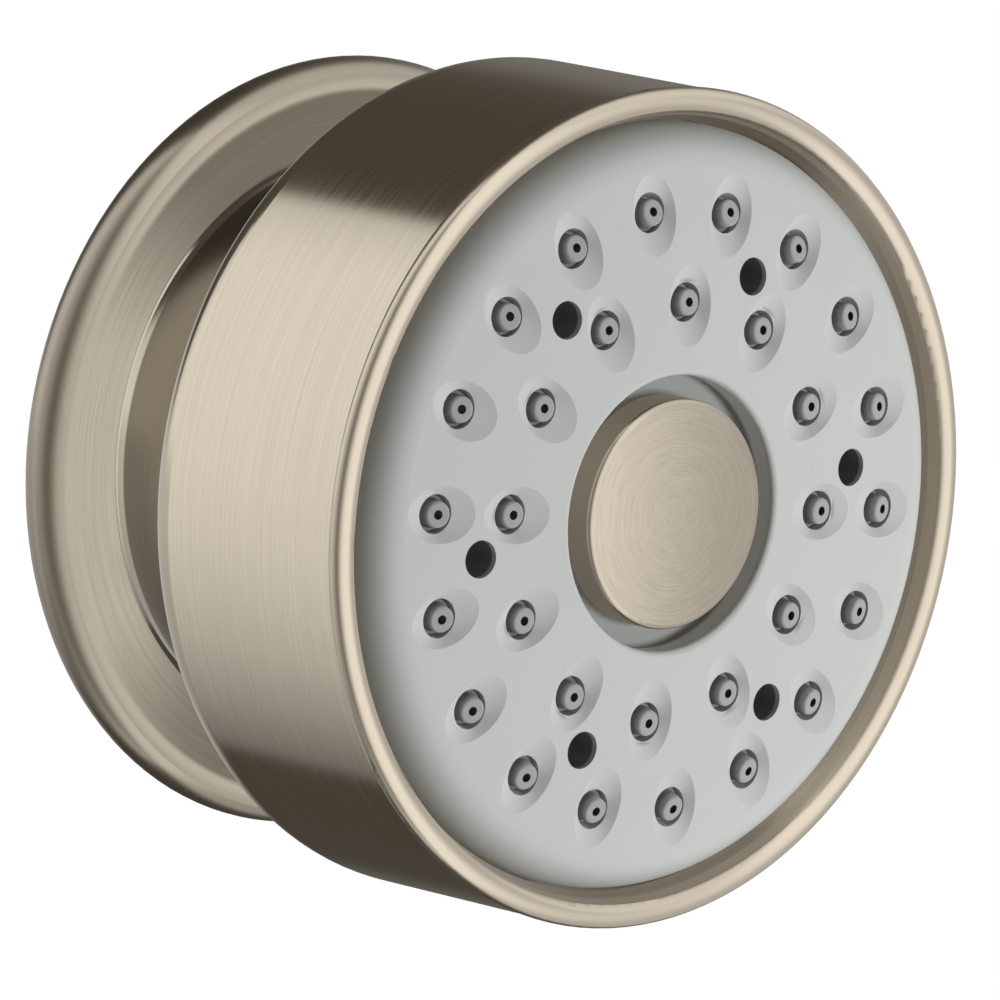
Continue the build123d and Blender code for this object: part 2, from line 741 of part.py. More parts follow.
pieces = {
    "ball_stud": ball_stud,
    "inlet_filter": inlet_filter,
    "neck": neck,
    "neck_washer": neck_washer,
    "escutcheon": escutcheon,
    "escutcheon_ring": escutcheon_ring,
    "wall_gasket": wall_gasket,
    "friction_ring": friction_ring,
    "ball_seat": ball_seat,
    "ball_nut": ball_nut,
    "ball_socket": ball_socket,
    "ball_seal": ball_seal,
    "flow_restrictor": flow_restrictor,
    "spray_body": spray_body,
    "body_seal": body_seal,
    "snap_ring": snap_ring,
    "housing": housing,
    "face_plate": face_plate,
    "nozzle_mat": nozzle_mat,
    "face_screws": face_screws,
    "centre_cap": centre_cap,
}
for name, piece in pieces.items():
    piece.part.label = name
    export_step(piece.part, f"parts/{name}.step")
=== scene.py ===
import math

import bpy
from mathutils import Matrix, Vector


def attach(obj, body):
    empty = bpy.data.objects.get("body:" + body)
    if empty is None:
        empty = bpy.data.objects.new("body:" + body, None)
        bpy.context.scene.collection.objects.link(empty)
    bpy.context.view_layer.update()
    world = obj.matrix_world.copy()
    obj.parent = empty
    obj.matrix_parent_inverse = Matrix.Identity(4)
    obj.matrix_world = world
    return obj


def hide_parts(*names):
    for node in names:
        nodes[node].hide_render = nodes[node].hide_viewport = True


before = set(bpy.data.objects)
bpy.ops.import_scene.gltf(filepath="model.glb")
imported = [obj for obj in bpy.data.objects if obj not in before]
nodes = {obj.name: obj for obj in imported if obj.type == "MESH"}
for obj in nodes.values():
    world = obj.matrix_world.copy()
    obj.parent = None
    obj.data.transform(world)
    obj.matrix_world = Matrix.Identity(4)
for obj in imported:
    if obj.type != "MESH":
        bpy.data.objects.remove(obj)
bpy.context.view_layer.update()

# Sizes that the looks need, in metres. Reach is the distance in front of the wall.
lip_foot_reach = 0.05925
gap_radius = 0.0470
gap_back_reach = 0.0300
escutcheon_face_reach = 0.0061
escutcheon_face_radius = 0.0428
escutcheon_edge_radius = 0.0440
dome_top_reach = 0.0647
dome_radius = 0.35
cap_radius = 0.0137
cap_front_reach = 0.0648
cap_rounding = 0.0006
pattern_turn = 2.7
nozzle_sink = 0.00015
orifice_radius = 0.00054
chamber_radius = 0.00104
well_ring_radius = 0.0298
well_start = 30.0
well_floor_reach = 0.0563
thread_radius = 0.0104775
thread_root_radius = 0.0092775
thread_pitch = 0.001814
thread_length = 0.013
ball_reach = 0.014
ball_radius = 0.009
least_radius = 0.00001

# Zones of the spray face and nozzles where shade or light is painted, from where each starts to where it is
# full: radii, and depths under the dome
plate_rim_shade = (0.0420, 0.0455)
well_inner = (0.0273, 0.0274)
well_outer = (0.0322, 0.0323)
well_depth = (0.0005, 0.0009)
recess_edge = (0.0168, 0.0174)
recess_wall_depth = (0.0002, 0.0012)
recess_floor_depth = (0.0026, 0.0034)
nozzle_flank_depth = (0.00035, 0.0011)
nozzle_chamber_depth = (0.00062, 0.00072)

# Each ring of nozzles: how many, first angle in degrees, radius, and lean in degrees
nozzle_rings = ((18, 0.0, 0.03605, 15.0), (12, 20.0, 0.025, 6.0))

# Camera, at the photograph's viewing angle
view_azimuth = math.radians(-42.58)
view_elevation = math.radians(11.48)
view_distance = 1.78
view_target = Vector((-0.01265, -0.0481, 0.000995))
view_lens = 545.4

# Finishes
nickel_light = (0.785, 0.697, 0.561)
nickel_deep = (0.67, 0.591, 0.474)
plastic_grey = (0.535, 0.55, 0.535)
silicone_grey = (0.37, 0.385, 0.375)
# Painted shade on the nozzles' flanks below their tips
flank_shade_grey = (0.20, 0.208, 0.203)
# Painted shade towards the spray face's rim
rim_shade_tint = (0.76, 0.77, 0.77)
# Painted shade on the recess floor round the cap, and painted light on the recess wall
recess_floor_shade = (0.30, 0.31, 0.30)
recess_wall_painted_light = (0.72, 0.74, 0.72)
# Painted shade in the screw wells
shade_grey = (0.12, 0.126, 0.122)
speck_grey = (0.22, 0.23, 0.22)
# Painted shade inside the nozzle bores
bore_shade_black = (0.012, 0.013, 0.013)


def deselect():
    """Leaves nothing selected, so that an operator acts only on what is made next."""
    if bpy.context.object and bpy.context.object.mode != "OBJECT":
        bpy.ops.object.mode_set(mode="OBJECT")
    bpy.ops.object.select_all(action="DESELECT")


def direction(azimuth, elevation):
    """Unit vector at an azimuth from the front, to the right, and at an elevation."""
    level = math.cos(elevation)
    return Vector((math.sin(azimuth) * level, -math.cos(azimuth) * level, math.sin(elevation)))


def add_camera():
    """Camera at the photograph's viewing angle, looking at the target point."""
    back = direction(view_azimuth, view_elevation)
    bpy.ops.object.camera_add(location=view_target + back * view_distance)
    camera = bpy.context.object
    camera.rotation_mode = "QUATERNION"
    camera.rotation_quaternion = (-back).to_track_quat("-Z", "Y")
    camera.data.lens = view_lens
    camera.data.sensor_width = 36
    camera.data.clip_end = 20
    bpy.context.scene.camera = camera


# Node helpers
def feed(tree, socket, value):
    """Gives an input socket a plain value, or links another socket to it."""
    if isinstance(value, bpy.types.NodeSocket):
        tree.links.new(value, socket)
    else:
        socket.default_value = value


def maths(tree, operation, *values):
    """One Math node on numbers or sockets; gives its output."""
    step = tree.nodes.new("ShaderNodeMath")
    step.operation = operation
    for socket, value in zip(step.inputs, values):
        feed(tree, socket, value)
    return step.outputs[0]


def ramp_between(tree, value, low, high, to_low=0.0, to_high=1.0):
    """Smooth step from one value to another; gives its output."""
    step = tree.nodes.new("ShaderNodeMapRange")
    step.interpolation_type = "SMOOTHSTEP"
    labels = ("Value", "From Min", "From Max", "To Min", "To Max")
    for label, number in zip(labels, (value, low, high, to_low, to_high)):
        feed(tree, step.inputs[label], number)
    return step.outputs[0]


def rest_of(tree, mask):
    """One less a mask."""
    return maths(tree, "SUBTRACT", 1.0, mask)


def mix_colours(tree, share, first, second, blend="MIX"):
    """Mixes two colours by a mask; gives the colour."""
    step = tree.nodes.new("ShaderNodeMix")
    step.data_type = "RGBA"
    step.blend_type = blend
    feed(tree, step.inputs["Factor"], share)
    feed(tree, step.inputs[6], first if isinstance(first, bpy.types.NodeSocket) else (*first, 1))
    feed(tree, step.inputs[7], second if isinstance(second, bpy.types.NodeSocket) else (*second, 1))
    return step.outputs[2]


def noise(tree, vector, scale, detail=1.0, roughness=0.5):
    """Noise on a vector; gives its value."""
    step = tree.nodes.new("ShaderNodeTexNoise")
    feed(tree, step.inputs["Vector"], vector)
    feed(tree, step.inputs["Scale"], scale)
    step.inputs["Detail"].default_value = detail
    step.inputs["Roughness"].default_value = roughness
    return step.outputs["Fac"]


def object_place(tree):
    """Object coordinates, as a vector."""
    return tree.nodes.new("ShaderNodeTexCoord").outputs["Object"]


def object_axes(tree):
    """Object coordinates, as x, y and z."""
    split = tree.nodes.new("ShaderNodeSeparateXYZ")
    tree.links.new(object_place(tree), split.inputs[0])
    return split.outputs


def radius_squared(tree, x, z):
    """Square of the distance from the spray axis."""
    return maths(tree, "ADD", maths(tree, "MULTIPLY", x, x), maths(tree, "MULTIPLY", z, z))


def radius_of(tree, x, z):
    """Distance from the spray axis."""
    return maths(tree, "SQRT", radius_squared(tree, x, z))


def new_group(name, given, found):
    """Empty node group with named numbers in and out; gives the group, its inputs and its outputs."""
    group = bpy.data.node_groups.new(name, "ShaderNodeTree")
    for label, value in given.items():
        socket = group.interface.new_socket(label, in_out="INPUT", socket_type="NodeSocketFloat")
        socket.default_value = value
    for label in found:
        group.interface.new_socket(label, in_out="OUTPUT", socket_type="NodeSocketFloat")
    start = group.nodes.new("NodeGroupInput")
    end = group.nodes.new("NodeGroupOutput")
    return group, start.outputs, end.inputs


def place_group(tree, group, **values):
    """Places a node group in a material with its own values; gives its outputs."""
    step = tree.nodes.new("ShaderNodeGroup")
    step.node_tree = group
    for label, value in values.items():
        feed(tree, step.inputs[label.replace("_", " ")], value)
    return step.outputs


def make_turned_grain():
    """Fine lines round the spray axis, as a brush leaves them, and a broad soft cloud."""
    given = {"Lines": 2000.0, "Arc": 2.5}
    group, given, found = new_group("turned_grain", given, ("Grain", "Fine", "Cloud"))
    x, y, z = object_axes(group)
    radius = maths(group, "MAXIMUM", radius_of(group, x, z), least_radius)
    along = maths(group, "MULTIPLY", maths(group, "SUBTRACT", radius, y), given["Lines"])
    around = group.nodes.new("ShaderNodeCombineXYZ")
    for place, axis in ((0, x), (2, z)):
        share = maths(group, "DIVIDE", axis, radius)
        feed(group, around.inputs[place], maths(group, "MULTIPLY", share, given["Arc"]))
    feed(group, around.inputs[1], along)
    streak = noise(group, around.outputs[0], 1.0, detail=2.0, roughness=0.6)
    fine = noise(group, around.outputs[0], 2.7, roughness=0.6)
    feed(group, found["Grain"], ramp_between(group, streak, 0.3, 0.7))
    feed(group, found["Fine"], ramp_between(group, fine, 0.3, 0.7))
    feed(group, found["Cloud"], noise(group, object_place(group), 45.0))
    return group


def make_turned_zone():
    """Masks for turned pieces: outside a radius, and ahead of a reach."""
    given = {"Radius": 0.05, "Reach": 0.05, "Softness": 0.0001}
    group, given, found = new_group("turned_zone", given, ("Outside", "Ahead"))
    x, y, z = object_axes(group)
    radius = radius_of(group, x, z)
    reach = maths(group, "MULTIPLY", y, -1.0)
    for label, value, edge in (("Outside", radius, "Radius"), ("Ahead", reach, "Reach")):
        low = maths(group, "SUBTRACT", given[edge], given["Softness"])
        high = maths(group, "ADD", given[edge], given["Softness"])
        feed(group, found[label], ramp_between(group, value, low, high))
    return group


def make_dome_depth():
    """How far a point of the spray face lies under its dome, in metres."""
    given = {"Top": dome_top_reach, "Dome": dome_radius}
    group, given, found = new_group("dome_depth", given, ("Depth", "Radius"))
    x, y, z = object_axes(group)
    radius = radius_of(group, x, z)
    square = maths(group, "MULTIPLY", given["Dome"], given["Dome"])
    inside = maths(group, "SUBTRACT", square, maths(group, "MULTIPLY", radius, radius))
    centre = maths(group, "SUBTRACT", given["Top"], given["Dome"])
    dome = maths(group, "ADD", centre, maths(group, "SQRT", inside))
    feed(group, found["Depth"], maths(group, "ADD", dome, y))
    feed(group, found["Radius"], radius)
    return group


def make_nozzle_bore():
    """Mask of the bores of one ring of leaning nozzles."""
    given = {"Step": 0.349, "Start": 1.57, "Ring": 0.036, "Tilt": 0.26, "Tip": 0.0625, "Bore": 0.0006}
    softness = 0.00004
    group, given, found = new_group("nozzle_bore", given, ("Inside",))
    x, y, z = object_axes(group)
    radius = radius_of(group, x, z)
    half = maths(group, "MULTIPLY", given["Step"], 0.5)
    turn = maths(group, "SUBTRACT", maths(group, "ARCTAN2", z, x), given["Start"])
    turn = maths(group, "FLOORED_MODULO", maths(group, "ADD", turn, half), given["Step"])
    turn = maths(group, "SUBTRACT", turn, half)
    sideways = maths(group, "MULTIPLY", radius, maths(group, "SINE", turn))
    along = maths(group, "MULTIPLY", radius, maths(group, "COSINE", turn))
    outwards = maths(group, "SUBTRACT", along, given["Ring"])
    ahead = maths(group, "SUBTRACT", maths(group, "MULTIPLY", y, -1.0), given["Tip"])
    level = maths(group, "MULTIPLY", outwards, maths(group, "COSINE", given["Tilt"]))
    leaning = maths(group, "MULTIPLY", ahead, maths(group, "SINE", given["Tilt"]))
    across = maths(group, "SUBTRACT", level, leaning)
    off_axis = radius_of(group, sideways, across)
    edge = maths(group, "ADD", given["Bore"], softness)
    feed(group, found["Inside"], ramp_between(group, off_axis, given["Bore"], edge, 1.0, 0.0))
    return group


def make_moulded_grain():
    """The fine even grain of a moulded or cast surface, and a broad soft cloud."""
    group, given, found = new_group("moulded_grain", {"Scale": 3000.0}, ("Grain", "Cloud", "Speck"))
    place = object_place(group)
    feed(group, found["Grain"], noise(group, place, given["Scale"]))
    feed(group, found["Cloud"], noise(group, place, 38.0))
    speck = noise(group, place, 900.0, roughness=0.4)
    feed(group, found["Speck"], ramp_between(group, speck, 0.79, 0.84))
    return group


turned_grain = make_turned_grain()
turned_zone = make_turned_zone()
dome_depth = make_dome_depth()
nozzle_bore = make_nozzle_bore()
moulded_grain = make_moulded_grain()


def new_material(name, metallic, roughness):
    """Material with a Principled shader; gives the material, its tree and the shader's inputs."""
    material = bpy.data.materials.new(name)
    material.use_nodes = True
    shader = material.node_tree.nodes["Principled BSDF"]
    shader.inputs["Metallic"].default_value = metallic
    shader.inputs["Roughness"].default_value = roughness
    return material, material.node_tree, shader.inputs


def bump(tree, height, strength, distance):
    """Bump from a height; gives the normal."""
    step = tree.nodes.new("ShaderNodeBump")
    step.inputs["Strength"].default_value = strength
    step.inputs["Distance"].default_value = distance
    feed(tree, step.inputs["Height"], height)
    return step.outputs["Normal"]


def tangent_round_axis(tree):
    """Tangent that runs round the spray axis."""
    step = tree.nodes.new("ShaderNodeTangent")
    step.direction_type = "RADIAL"
    step.axis = "Y"
    return step.outputs[0]


def shade_of_bezel(tree):
    """Mask of painted shade on the housing's inside and bezel, standing in for the dark gap round the spray
    face that they reflect.
    """
    zone = place_group(tree, turned_zone, Radius=gap_radius, Reach=gap_back_reach, Softness=0.0002)
    return maths(tree, "MULTIPLY", rest_of(tree, zone["Outside"]), zone["Ahead"])


def shade_of_escutcheon(tree):
    """Mask of painted shade on the escutcheon's rolled edge, and on its face above and below, where the
    drum shades it.
    """
    upright_zone, edge_share = (0.35, 0.92), 0.3
    x, _, z = object_axes(tree)
    radius = maths(tree, "MAXIMUM", radius_of(tree, x, z), least_radius)
    upright = maths(tree, "DIVIDE", maths(tree, "ABSOLUTE", z), radius)
    beyond = place_group(tree, turned_zone, Radius=escutcheon_face_radius, Softness=0.0004)["Outside"]
    shaded = maths(tree, "MULTIPLY", ramp_between(tree, upright, *upright_zone), rest_of(tree, beyond))
    edge = place_group(tree, turned_zone, Radius=escutcheon_edge_radius, Softness=0.0006)["Outside"]
    return maths(tree, "ADD", shaded, maths(tree, "MULTIPLY", edge, edge_share))


def shade_of_neck(tree):
    """Mask of the neck in front of the escutcheon, where the drum shades it."""
    return place_group(tree, turned_zone, Reach=escutcheon_face_reach, Softness=0.0003)["Ahead"]


def shade_of_cap(tree):
    """Mask of painted shade on the cap's side, which stands in the recess."""
    front = place_group(tree, turned_zone, Reach=cap_front_reach - cap_rounding, Softness=0.0002)["Ahead"]
    return rest_of(tree, front)


def brushed_metal(
    name, light, deep, lines=2500.0, arc=1.0, rough=0.13, smooth=None, smooth_rough=0.27, crown=None,
    shade=None, shade_tint=(1, 1, 1), shade_rough=0.0
):
    """Turned and brushed metal. It can have a smooth zone, a crowned front and a zone of painted shade."""
    smoothed, unevenness = 0.85, 0.03
    material, tree, shader = new_material(name, 1.0, rough)
    grain, fine, cloud = place_group(tree, turned_grain, Lines=lines, Arc=arc)
    brush = maths(tree, "ADD", maths(tree, "MULTIPLY", grain, 0.5), maths(tree, "MULTIPLY", fine, 0.5))
    base = rough
    if smooth:
        label, edges = smooth
        zone = place_group(tree, turned_zone, **edges)[label]
        brushed = rest_of(tree, maths(tree, "MULTIPLY", zone, smoothed))
        centred = maths(tree, "SUBTRACT", brush, 0.5)
        brush = maths(tree, "ADD", 0.5, maths(tree, "MULTIPLY", centred, brushed))
        base = maths(tree, "ADD", smooth_rough, maths(tree, "MULTIPLY", brushed, rough - smooth_rough))
    colour = mix_colours(tree, brush, deep, light)
    if shade:
        shaded = shade(tree)
        colour = mix_colours(tree, shaded, colour, shade_tint, "MULTIPLY")
        base = maths(tree, "ADD", base, maths(tree, "MULTIPLY", shaded, shade_rough))
    feed(tree, shader["Base Color"], colour)
    spread = maths(tree, "MULTIPLY", maths(tree, "SUBTRACT", brush, 0.5), unevenness)
    haze = maths(tree, "MULTIPLY", maths(tree, "SUBTRACT", cloud, 0.5), unevenness)
    feed(tree, shader["Roughness"], maths(tree, "ADD", base, maths(tree, "ADD", spread, haze)))
    shader["Anisotropic"].default_value = 0.5
    shader["Anisotropic Rotation"].default_value = 0.25
    feed(tree, shader["Tangent"], tangent_round_axis(tree))
    if crown:
        x, _, z = object_axes(tree)
        height = maths(tree, "DIVIDE", radius_squared(tree, x, z), -2 * crown)
        feed(tree, shader["Normal"], bump(tree, height, strength=1.0, distance=1.0))
    return material


def moulded(
    name, colour, roughness, grain_scale=3000.0, grain_height=0.00001, cloudiness=0.06, specular=0.4
):
    """Moulded plastic or rubber with a fine grain and slightly uneven colour."""
    material, tree, shader = new_material(name, 0.0, roughness)
    grain, cloud, _ = place_group(tree, moulded_grain, Scale=grain_scale)
    darker = tuple(channel * (1 - cloudiness) for channel in colour)
    feed(tree, shader["Base Color"], mix_colours(tree, cloud, darker, colour))
    feed(tree, shader["Roughness"], ramp_between(tree, cloud, 0.2, 0.8, roughness - 0.05, roughness + 0.05))
    shader["Specular IOR Level"].default_value = specular
    feed(tree, shader["Normal"], bump(tree, grain, strength=0.5, distance=grain_height))
    return material


def spray_plastic():
    """Light grey satin plastic of the spray face, with a few specks, painted shade at its rim, in its wells
    and on its recess floor, and painted light on its recess wall.
    """
    material, tree, shader = new_material("face_plastic", 0.0, 0.46)
    grain, cloud, speck = place_group(tree, moulded_grain, Scale=3400.0)
    depth, radius = place_group(tree, dome_depth)
    lower = tuple(channel * 0.96 for channel in plastic_grey)
    colour = mix_colours(tree, cloud, lower, plastic_grey)
    colour = mix_colours(tree, maths(tree, "MULTIPLY", speck, 0.12), colour, speck_grey)
    # Painted shade darkens the plate towards its rim.
    rim = ramp_between(tree, radius, *plate_rim_shade)
    colour = mix_colours(tree, rim, colour, rim_shade_tint, "MULTIPLY")
    # Painted shade in the deep screw wells.
    deep = ramp_between(tree, depth, *well_depth)
    outer = ramp_between(tree, radius, *well_outer, 1.0, 0.0)
    wells = maths(tree, "MULTIPLY", ramp_between(tree, radius, *well_inner), outer)
    colour = mix_colours(tree, maths(tree, "MULTIPLY", deep, wells), colour, shade_grey)
    # Round the cap, the recess wall gets painted light and its floor painted shade.
    within = ramp_between(tree, radius, *recess_edge, 1.0, 0.0)
    wall = maths(tree, "MULTIPLY", ramp_between(tree, depth, *recess_wall_depth), within)
    colour = mix_colours(tree, wall, colour, recess_wall_painted_light)
    floor = maths(tree, "MULTIPLY", ramp_between(tree, depth, *recess_floor_depth), within)
    feed(tree, shader["Base Color"], mix_colours(tree, floor, colour, recess_floor_shade))
    feed(tree, shader["Roughness"], ramp_between(tree, cloud, 0.2, 0.8, 0.42, 0.50))
    shader["Specular IOR Level"].default_value = 0.15
    feed(tree, shader["Normal"], bump(tree, grain, strength=0.45, distance=0.00001))
    return material


def nozzle_silicone():
    """Soft grey silicone of the nozzles, with painted shade inside each bore, in its chamber and on its
    flanks below the tip.
    """
    material, tree, shader = new_material("nozzle_silicone", 0.0, 0.55)
    grain, cloud, _ = place_group(tree, moulded_grain, Scale=4200.0)
    depth, _ = place_group(tree, dome_depth)
    # Painted shade in each nozzle's bore and in its chamber behind the tip.
    behind_tip = ramp_between(tree, depth, *nozzle_chamber_depth)
    inside = 0.0
    for count, start, ring, tilt in nozzle_rings:
        tip = dome_top_reach - dome_radius + math.sqrt(dome_radius**2 - ring**2) - nozzle_sink
        ring_values = {
            "Step": math.tau / count,
            "Start": math.radians(90 + pattern_turn + start),
            "Ring": ring,
            "Tilt": math.radians(tilt),
            "Tip": tip,
        }
        bore = place_group(tree, nozzle_bore, Bore=orifice_radius, **ring_values)["Inside"]
        chamber = place_group(tree, nozzle_bore, Bore=chamber_radius, **ring_values)["Inside"]
        inside = maths(tree, "MAXIMUM", inside, bore)
        inside = maths(tree, "MAXIMUM", inside, maths(tree, "MULTIPLY", chamber, behind_tip))
    lower = tuple(channel * 0.93 for channel in silicone_grey)
    colour = mix_colours(tree, cloud, lower, silicone_grey)
    # Painted shade on the nozzles' flanks below the tips.
    colour = mix_colours(tree, ramp_between(tree, depth, *nozzle_flank_depth), colour, flank_shade_grey)
    feed(tree, shader["Base Color"], mix_colours(tree, inside, colour, bore_shade_black))
    feed(tree, shader["Roughness"], ramp_between(tree, grain, 0.3, 0.7, 0.48, 0.60))
    shader["Specular IOR Level"].default_value = 0.1
    feed(tree, shader["Normal"], bump(tree, grain, strength=0.4, distance=0.00001))
    return material


brass_light, brass_deep = (0.76, 0.60, 0.31), (0.66, 0.49, 0.22)
# The cap's and the escutcheon face's nickel is painted darker than the housing's, as shade.
shaded_cap_light, shaded_cap_deep = (0.69, 0.61, 0.492), (0.56, 0.493, 0.392)
shaded_face_light, shaded_face_deep = (0.65, 0.575, 0.463), (0.53, 0.468, 0.373)
steel_light, steel_deep = (0.60, 0.60, 0.59), (0.50, 0.50, 0.49)
lip_zone = ("Ahead", {"Reach": lip_foot_reach, "Softness": 0.00006})
cap_zone = ("Outside", {"Radius": cap_radius - 0.0005, "Softness": 0.0002})
edge_zone = ("Outside", {"Radius": escutcheon_face_radius, "Softness": 0.0004})
finishes = {
    # The housing's inside and bezel get painted shade, for the dark gap round the spray face that they
    # reflect.
    "housing": brushed_metal(
        "nickel_housing", nickel_light, nickel_deep, smooth=lip_zone,
        shade=shade_of_bezel, shade_tint=(0.70, 0.69, 0.67), shade_rough=0.22
    ),
    "escutcheon": brushed_metal(
        "nickel_escutcheon", shaded_face_light, shaded_face_deep, rough=0.19, smooth=edge_zone,
        shade=shade_of_escutcheon, shade_tint=(0.38, 0.375, 0.36)
    ),
    "neck": brushed_metal(
        "nickel_neck", nickel_light, nickel_deep,
        shade=shade_of_neck, shade_tint=(0.34, 0.315, 0.28), shade_rough=0.09
    ),
    "cap": brushed_metal(
        "nickel_cap", shaded_cap_light, shaded_cap_deep, lines=5000.0, arc=1.6, smooth=cap_zone, crown=0.085,
        shade=shade_of_cap, shade_tint=(0.57, 0.56, 0.54), shade_rough=0.4
    ),
    "brass": brushed_metal("turned_brass", brass_light, brass_deep, lines=1500.0, arc=0.6),
    "steel": brushed_metal("stainless_steel", steel_light, steel_deep, lines=2500.0, arc=1.0),
    # The snap ring's steel is painted dark, as the shade in the gap round the spray face.
    "shaded_steel": brushed_metal("steel_in_shade", (0.13, 0.13, 0.13), (0.10, 0.10, 0.10), rough=0.3),
    "face": spray_plastic(),
    "nozzles": nozzle_silicone(),
    "seals": moulded(
        "black_rubber", (0.028, 0.028, 0.029), 0.6, grain_scale=2200.0, grain_height=0.00002, cloudiness=0.3
    ),
    "white": moulded("white_acetal", (0.80, 0.80, 0.77), 0.38),
    "dark": moulded("black_plastic", (0.065, 0.066, 0.07), 0.45, grain_scale=2600.0, cloudiness=0.2),
    "fibre": moulded(
        "pressed_fibre", (0.36, 0.12, 0.07), 0.75,
        grain_scale=1500.0, grain_height=0.00004, cloudiness=0.35, specular=0.2
    ),
}
finish_of = {
    "ball_stud": "brass",
    "inlet_filter": "white",
    "neck": "neck",
    "neck_washer": "fibre",
    "escutcheon": "escutcheon",
    "escutcheon_ring": "seals",
    "wall_gasket": "seals",
    "friction_ring": "white",
    "ball_seat": "white",
    "ball_nut": "brass",
    "ball_socket": "brass",
    "ball_seal": "seals",
    "flow_restrictor": "white",
    "spray_body": "dark",
    "body_seal": "seals",
    "snap_ring": "shaded_steel",
    "housing": "housing",
    "face_plate": "face",
    "nozzle_mat": "nozzles",
    "face_screws": "steel",
    "centre_cap": "cap",
}


def dress(piece, finish):
    """Gives a piece one finish all over."""
    piece.data.materials.clear()
    piece.data.materials.append(finishes[finish])


for name, node in nodes.items():
    dress(node, finish_of[name])


# Pieces with more detail than the solid model
def turned(name, stations, sides):
    """Turned shell about the spray axis: a ring drawn out through stations of radius and reach."""
    deselect()
    radius, reach = stations[0]
    bpy.ops.mesh.primitive_circle_add(
        vertices=sides, radius=radius, location=(0, -reach, 0), rotation=(math.pi / 2, 0, 0)
    )
    piece = bpy.context.object
    piece.name = name
    bpy.ops.object.transform_apply(location=True, rotation=True, scale=True)
    bpy.ops.object.mode_set(mode="EDIT")
    bpy.ops.mesh.select_all(action="SELECT")
    for next_radius, next_reach in stations[1:]:
        bpy.ops.mesh.extrude_region_move(TRANSFORM_OT_translate={"value": (0, reach - next_reach, 0)})
        share = next_radius / radius
        bpy.ops.transform.resize(value=(share, 1, share), center_override=(0, -next_reach, 0))
        radius, reach = next_radius, next_reach
    bpy.ops.mesh.select_all(action="SELECT")
    bpy.ops.mesh.remove_doubles(threshold=0.000002)
    bpy.ops.mesh.fill_holes(sides=0)
    bpy.ops.mesh.select_all(action="SELECT")
    bpy.ops.mesh.normals_make_consistent(inside=False)
    bpy.ops.object.mode_set(mode="OBJECT")
    return piece


def apply_modifier(piece, kind, **settings):
    """Adds one modifier to a piece, sets it and applies it."""
    deselect()
    piece.select_set(True)
    bpy.context.view_layer.objects.active = piece
    modifier = piece.modifiers.new(kind.lower(), kind)
    for key, value in settings.items():
        setattr(modifier, key, value)
    bpy.ops.object.modifier_apply(modifier=modifier.name)


def soften(piece, angle):
    """Smooth shading up to an edge angle."""
    deselect()
    piece.select_set(True)
    bpy.context.view_layer.objects.active = piece
    bpy.ops.object.shade_smooth_by_angle(angle=math.radians(angle))


def cut_with(piece, cutter):
    """Cuts a shape out of a piece and removes the cutter."""
    apply_modifier(piece, "BOOLEAN", operation="DIFFERENCE", solver="EXACT", object=cutter)
    bpy.data.objects.remove(cutter)


def make_thread():
    """Ridge of the pipe thread: its section wound round the stud, fading in and out at its ends."""
    deselect()
    half_root, half_crest = 0.00082, 0.00013
    inner, start = thread_root_radius - 0.0001, 0.0011
    turns, steps = 6, 72
    end_margin, fade_length = 0.0002, 0.0005
    middle = (inner + thread_radius) / 2
    bpy.ops.mesh.primitive_plane_add(size=1, location=(middle, start, 0))
    ridge = bpy.context.object
    ridge.name = "thread"
    ridge.scale = (thread_radius - inner, 2 * half_root, 1)
    bpy.ops.object.transform_apply(location=True, rotation=True, scale=True)
    for corner in ridge.data.vertices:
        corner.select = corner.co.x > middle
    for side in (*ridge.data.edges, *ridge.data.polygons):
        side.select = False
    bpy.ops.object.mode_set(mode="EDIT")
    bpy.ops.transform.resize(value=(1, half_crest / half_root, 1), center_override=(middle, start, 0))
    bpy.ops.mesh.select_all(action="SELECT")
    bpy.ops.mesh.delete(type="ONLY_FACE")
    bpy.ops.object.mode_set(mode="OBJECT")
    apply_modifier(
        ridge, "SCREW", axis="Y", angle=math.tau, screw_offset=thread_pitch,
        iterations=turns, steps=steps, render_steps=steps
    )
    low, high = start - end_margin, start + turns * thread_pitch + end_margin
    for corner in ridge.data.vertices:
        radius = math.hypot(corner.co.x, corner.co.z)
        fade = min(1.0, max(0.0, min(corner.co.y - low, high - corner.co.y) / fade_length))
        share = (inner + (radius - inner) * fade) / radius
        corner.co.x *= share
        corner.co.z *= share
    bpy.ops.object.mode_set(mode="EDIT")
    bpy.ops.mesh.select_all(action="SELECT")
    bpy.ops.mesh.fill_holes(sides=0)
    bpy.ops.mesh.select_all(action="SELECT")
    bpy.ops.mesh.normals_make_consistent(inside=False)
    bpy.ops.object.mode_set(mode="OBJECT")
    return ridge


